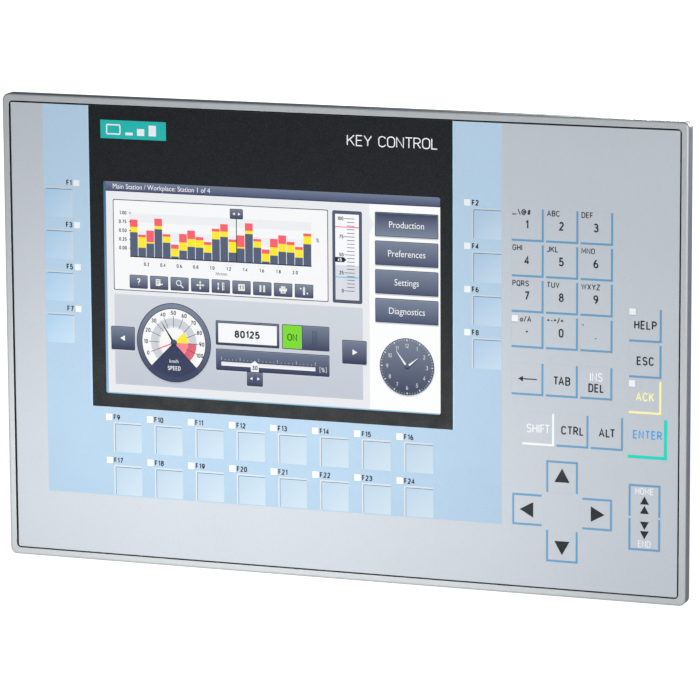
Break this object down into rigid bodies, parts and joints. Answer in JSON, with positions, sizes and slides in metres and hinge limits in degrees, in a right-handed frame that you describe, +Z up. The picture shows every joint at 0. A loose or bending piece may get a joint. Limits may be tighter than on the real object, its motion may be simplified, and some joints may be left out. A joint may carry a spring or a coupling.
{
  "type": "hmi operator panel",
  "caption": "Cabinet-mounted operator panel: wide colour display in a membrane keyboard with number, cursor and function keys, status lights, rear housing and screw clips.",
  "frame": {"origin": "centre of the cabinet cut-out, on the rear face of the bezel's flange", "axes": "+X to the right seen from the front, +Y from the front into the cabinet, +Z up"},
  "size_m": [0.308, 0.063, 0.204],
  "materials": {
    "bezel": "die-cast light metal, fine satin silver paint",
    "foil": "polyester overlay foil, finely textured, printed on its back",
    "key_caps": "the same grey foil as round it, with printed lines and legends",
    "function_caps": "clear label window over a light blue print",
    "enter_cap": "grey foil with a teal corner line",
    "acknowledge_cap": "grey foil with a pale yellow corner line",
    "lenses": "clear to milky light guides",
    "paper_strips": "printed film",
    "seal_rubber": "black foam rubber",
    "window_pane": "clear pane with an anti-glare face",
    "display_case": "thin bright sheet",
    "display_glass": "dark display cell",
    "bracket_steel": "zinc-plated sheet",
    "circuit_board": "green solder mask",
    "dome_steel": "spring steel",
    "component_plastic": "moulded black packages",
    "sink_aluminium": "extruded",
    "housing_plastic": "anthracite, fine spark-eroded texture",
    "screw_steel": "zinc-plated",
    "clip_aluminium": "die-cast, bare",
    "socket_green": "green terminal plastic",
    "plug_green": "green terminal plastic",
    "stud_brass": "plain",
    "socket_metal": "tinned shield",
    "socket_black": "moulded black",
    "lock_plastic": "moulded grey"
  },
  "bodies": {
    "panel": {"front_frame": "bezel", "overlay_foil": "foil", "indicator_lenses": "lenses", "label_strips": "paper_strips", "panel_seal": "seal_rubber", "display_window": "window_pane", "display_frame": "display_case", "display_cell": "display_glass", "display_bracket": "bracket_steel", "key_board": "circuit_board", "snap_domes": "dome_steel", "main_board": "circuit_board", "board_components": "component_plastic", "heat_sink": "sink_aluminium", "rear_housing": "housing_plastic", "rear_cover": "housing_plastic", "housing_screws": "screw_steel", "mounting_clips": "clip_aluminium", "clip_screws": "screw_steel", "power_socket": "socket_green", "power_plug": "plug_green", "earth_stud": "stud_brass", "network_sockets": "socket_metal", "serial_socket": "socket_metal", "usb_sockets": "socket_metal", "audio_jack": "socket_black", "card_holder": "socket_black"},
    "card_lock": {"card_lock": "lock_plastic"},
    "key_1": {"key_1": "key_caps"},
    "key_2": {"key_2": "key_caps"},
    "key_3": {"key_3": "key_caps"},
    "key_4": {"key_4": "key_caps"},
    "key_5": {"key_5": "key_caps"},
    "key_6": {"key_6": "key_caps"},
    "key_7": {"key_7": "key_caps"},
    "key_8": {"key_8": "key_caps"},
    "key_9": {"key_9": "key_caps"},
    "key_case_minus": {"key_case_minus": "key_caps"},
    "key_0": {"key_0": "key_caps"},
    "key_point": {"key_point": "key_caps"},
    "key_backspace": {"key_backspace": "key_caps"},
    "key_tab": {"key_tab": "key_caps"},
    "key_insert": {"key_insert": "key_caps"},
    "key_shift": {"key_shift": "key_caps"},
    "key_ctrl": {"key_ctrl": "key_caps"},
    "key_alt": {"key_alt": "key_caps"},
    "key_help": {"key_help": "key_caps"},
    "key_escape": {"key_escape": "key_caps"},
    "key_acknowledge": {"key_acknowledge": "acknowledge_cap"},
    "key_enter": {"key_enter": "enter_cap"},
    "key_up": {"key_up": "key_caps"},
    "key_left": {"key_left": "key_caps"},
    "key_right": {"key_right": "key_caps"},
    "key_down": {"key_down": "key_caps"},
    "key_home": {"key_home": "key_caps"},
    "key_end": {"key_end": "key_caps"},
    "function_keys_left": {"function_keys_left": "function_caps"},
    "function_keys_right": {"function_keys_right": "function_caps"},
    "function_keys_upper_row": {"function_keys_upper_row": "function_caps"},
    "function_keys_lower_row": {"function_keys_lower_row": "function_caps"}
  },
  "joints": [
    {"name": "card_lock_slide", "type": "slide", "parent": "panel", "child": "card_lock", "axis": [0, 0, 1], "range_m": [0, 0.03]},
    {"name": "key_1_press", "type": "slide", "parent": "panel", "child": "key_1", "axis": [0, 1, 0], "range_m": [0, 0.00045], "stiffness_N_per_m": 4000},
    {"name": "key_2_press", "type": "slide", "parent": "panel", "child": "key_2", "axis": [0, 1, 0], "range_m": [0, 0.00045], "stiffness_N_per_m": 4000},
    {"name": "key_3_press", "type": "slide", "parent": "panel", "child": "key_3", "axis": [0, 1, 0], "range_m": [0, 0.00045], "stiffness_N_per_m": 4000},
    {"name": "key_4_press", "type": "slide", "parent": "panel", "child": "key_4", "axis": [0, 1, 0], "range_m": [0, 0.00045], "stiffness_N_per_m": 4000},
    {"name": "key_5_press", "type": "slide", "parent": "panel", "child": "key_5", "axis": [0, 1, 0], "range_m": [0, 0.00045], "stiffness_N_per_m": 4000},
    {"name": "key_6_press", "type": "slide", "parent": "panel", "child": "key_6", "axis": [0, 1, 0], "range_m": [0, 0.00045], "stiffness_N_per_m": 4000},
    {"name": "key_7_press", "type": "slide", "parent": "panel", "child": "key_7", "axis": [0, 1, 0], "range_m": [0, 0.00045], "stiffness_N_per_m": 4000},
    {"name": "key_8_press", "type": "slide", "parent": "panel", "child": "key_8", "axis": [0, 1, 0], "range_m": [0, 0.00045], "stiffness_N_per_m": 4000},
    {"name": "key_9_press", "type": "slide", "parent": "panel", "child": "key_9", "axis": [0, 1, 0], "range_m": [0, 0.00045], "stiffness_N_per_m": 4000},
    {"name": "key_case_minus_press", "type": "slide", "parent": "panel", "child": "key_case_minus", "axis": [0, 1, 0], "range_m": [0, 0.00045], "stiffness_N_per_m": 4000},
    {"name": "key_0_press", "type": "slide", "parent": "panel", "child": "key_0", "axis": [0, 1, 0], "range_m": [0, 0.00045], "stiffness_N_per_m": 4000},
    {"name": "key_point_press", "type": "slide", "parent": "panel", "child": "key_point", "axis": [0, 1, 0], "range_m": [0, 0.00045], "stiffness_N_per_m": 4000},
    {"name": "key_backspace_press", "type": "slide", "parent": "panel", "child": "key_backspace", "axis": [0, 1, 0], "range_m": [0, 0.00045], "stiffness_N_per_m": 4000},
    {"name": "key_tab_press", "type": "slide", "parent": "panel", "child": "key_tab", "axis": [0, 1, 0], "range_m": [0, 0.00045], "stiffness_N_per_m": 4000},
    {"name": "key_insert_press", "type": "slide", "parent": "panel", "child": "key_insert", "axis": [0, 1, 0], "range_m": [0, 0.00045], "stiffness_N_per_m": 4000},
    {"name": "key_shift_press", "type": "slide", "parent": "panel", "child": "key_shift", "axis": [0, 1, 0], "range_m": [0, 0.00045], "stiffness_N_per_m": 4000},
    {"name": "key_ctrl_press", "type": "slide", "parent": "panel", "child": "key_ctrl", "axis": [0, 1, 0], "range_m": [0, 0.00045], "stiffness_N_per_m": 4000},
    {"name": "key_alt_press", "type": "slide", "parent": "panel", "child": "key_alt", "axis": [0, 1, 0], "range_m": [0, 0.00045], "stiffness_N_per_m": 4000},
    {"name": "key_help_press", "type": "slide", "parent": "panel", "child": "key_help", "axis": [0, 1, 0], "range_m": [0, 0.00045], "stiffness_N_per_m": 4000},
    {"name": "key_escape_press", "type": "slide", "parent": "panel", "child": "key_escape", "axis": [0, 1, 0], "range_m": [0, 0.00045], "stiffness_N_per_m": 4000},
    {"name": "key_acknowledge_press", "type": "slide", "parent": "panel", "child": "key_acknowledge", "axis": [0, 1, 0], "range_m": [0, 0.00045], "stiffness_N_per_m": 4000},
    {"name": "key_enter_press", "type": "slide", "parent": "panel", "child": "key_enter", "axis": [0, 1, 0], "range_m": [0, 0.00045], "stiffness_N_per_m": 4000},
    {"name": "key_up_press", "type": "slide", "parent": "panel", "child": "key_up", "axis": [0, 1, 0], "range_m": [0, 0.00045], "stiffness_N_per_m": 4000},
    {"name": "key_left_press", "type": "slide", "parent": "panel", "child": "key_left", "axis": [0, 1, 0], "range_m": [0, 0.00045], "stiffness_N_per_m": 4000},
    {"name": "key_right_press", "type": "slide", "parent": "panel", "child": "key_right", "axis": [0, 1, 0], "range_m": [0, 0.00045], "stiffness_N_per_m": 4000},
    {"name": "key_down_press", "type": "slide", "parent": "panel", "child": "key_down", "axis": [0, 1, 0], "range_m": [0, 0.00045], "stiffness_N_per_m": 4000},
    {"name": "key_home_press", "type": "slide", "parent": "panel", "child": "key_home", "axis": [0, 1, 0], "range_m": [0, 0.00045], "stiffness_N_per_m": 4000},
    {"name": "key_end_press", "type": "slide", "parent": "panel", "child": "key_end", "axis": [0, 1, 0], "range_m": [0, 0.00045], "stiffness_N_per_m": 4000},
    {"name": "function_keys_left_press", "type": "slide", "parent": "panel", "child": "function_keys_left", "axis": [0, 1, 0], "range_m": [0, 0.00045], "stiffness_N_per_m": 16000},
    {"name": "function_keys_right_press", "type": "slide", "parent": "panel", "child": "function_keys_right", "axis": [0, 1, 0], "range_m": [0, 0.00045], "stiffness_N_per_m": 16000},
    {"name": "function_keys_upper_row_press", "type": "slide", "parent": "panel", "child": "function_keys_upper_row", "axis": [0, 1, 0], "range_m": [0, 0.00045], "stiffness_N_per_m": 32000},
    {"name": "function_keys_lower_row_press", "type": "slide", "parent": "panel", "child": "function_keys_lower_row", "axis": [0, 1, 0], "range_m": [0, 0.00045], "stiffness_N_per_m": 32000}
  ]
}
